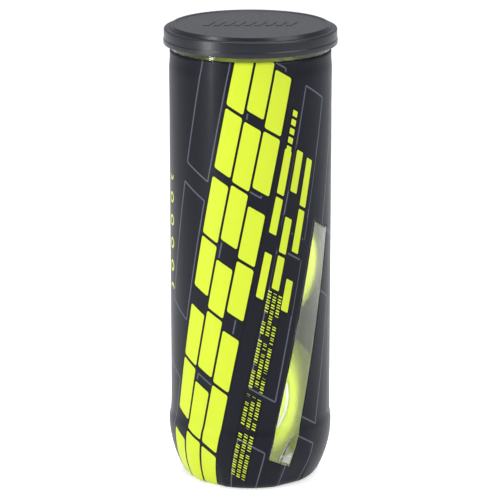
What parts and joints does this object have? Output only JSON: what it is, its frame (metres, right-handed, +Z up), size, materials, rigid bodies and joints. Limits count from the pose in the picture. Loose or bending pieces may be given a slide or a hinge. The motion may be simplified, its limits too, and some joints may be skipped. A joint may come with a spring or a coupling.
{
  "type": "tennis ball can",
  "caption": "Clear cylindrical pressurised can with footed base, printed sleeve with a slanted window, ring-pull metal end and press-on lid, holding stacked felt balls.",
  "frame": {"origin": "middle of the floor plane that the can stands on, on the can's axis", "axes": "+Z up along the can's axis, -Y the front of the label, +X the viewer's right"},
  "size_m": [0.078, 0.078, 0.21],
  "materials": {
    "lid_plastic": "fine-grained moulded polyethylene, satin",
    "clear_pet": "clear blow-moulded PET, glossy",
    "printed_film": "printed shrink film, satin gloss: charcoal with lime and grey print",
    "clear_film": "unprinted shrink film, clear",
    "aluminium": "rolled and stamped, fine brushing",
    "compound": "cured sealing compound",
    "ball_rubber": "moulded natural rubber",
    "ball_felt": "napped wool and nylon felt",
    "ball_cement": "vulcanised cement, matt"
  },
  "bodies": {
    "can": {"can_body": "clear_pet", "label_sleeve": "printed_film", "label_window": "clear_film", "end_ring": "aluminium", "seam_compound": "compound"},
    "ball_1": {"ball_1_core_lower": "ball_rubber", "ball_1_core_upper": "ball_rubber", "ball_1_felt_a": "ball_felt", "ball_1_felt_b": "ball_felt", "ball_1_seam": "ball_cement"},
    "ball_2": {"ball_2_core_lower": "ball_rubber", "ball_2_core_upper": "ball_rubber", "ball_2_felt_a": "ball_felt", "ball_2_felt_b": "ball_felt", "ball_2_seam": "ball_cement"},
    "ball_3": {"ball_3_core_lower": "ball_rubber", "ball_3_core_upper": "ball_rubber", "ball_3_felt_a": "ball_felt", "ball_3_felt_b": "ball_felt", "ball_3_seam": "ball_cement"},
    "panel": {"tear_panel": "aluminium", "tab_tongue": "aluminium"},
    "ring_pull": {"pull_tab": "aluminium"},
    "lid": {"lid": "lid_plastic"}
  },
  "joints": [
    {"name": "ball_1_lift", "type": "slide", "parent": "can", "child": "ball_1", "axis": [0, 0, 1], "range_m": [0, 0.209]},
    {"name": "ball_2_lift", "type": "slide", "parent": "ball_1", "child": "ball_2", "axis": [0, 0, 1], "range_m": [0, 0.144]},
    {"name": "ball_3_lift", "type": "slide", "parent": "ball_2", "child": "ball_3", "axis": [0, 0, 1], "range_m": [0, 0.078]},
    {"name": "panel_lift", "type": "slide", "parent": "ball_3", "child": "panel", "axis": [0, 0, 1], "range_m": [0, 0.02]},
    {"name": "lid_lift", "type": "slide", "parent": "panel", "child": "lid", "axis": [0, 0, 1], "range_m": [0, 0.06]},
    {"name": "tab_hinge", "type": "hinge", "parent": "panel", "child": "ring_pull", "pos_m": [0, -0.0269, 0.2041], "axis": [1, 0, 0], "range_deg": [0, 90]}
  ],
  "couplings": [
    {"joint": "lid_lift", "follows": "tab_hinge", "m_per_rad": 0.038197}
  ]
}
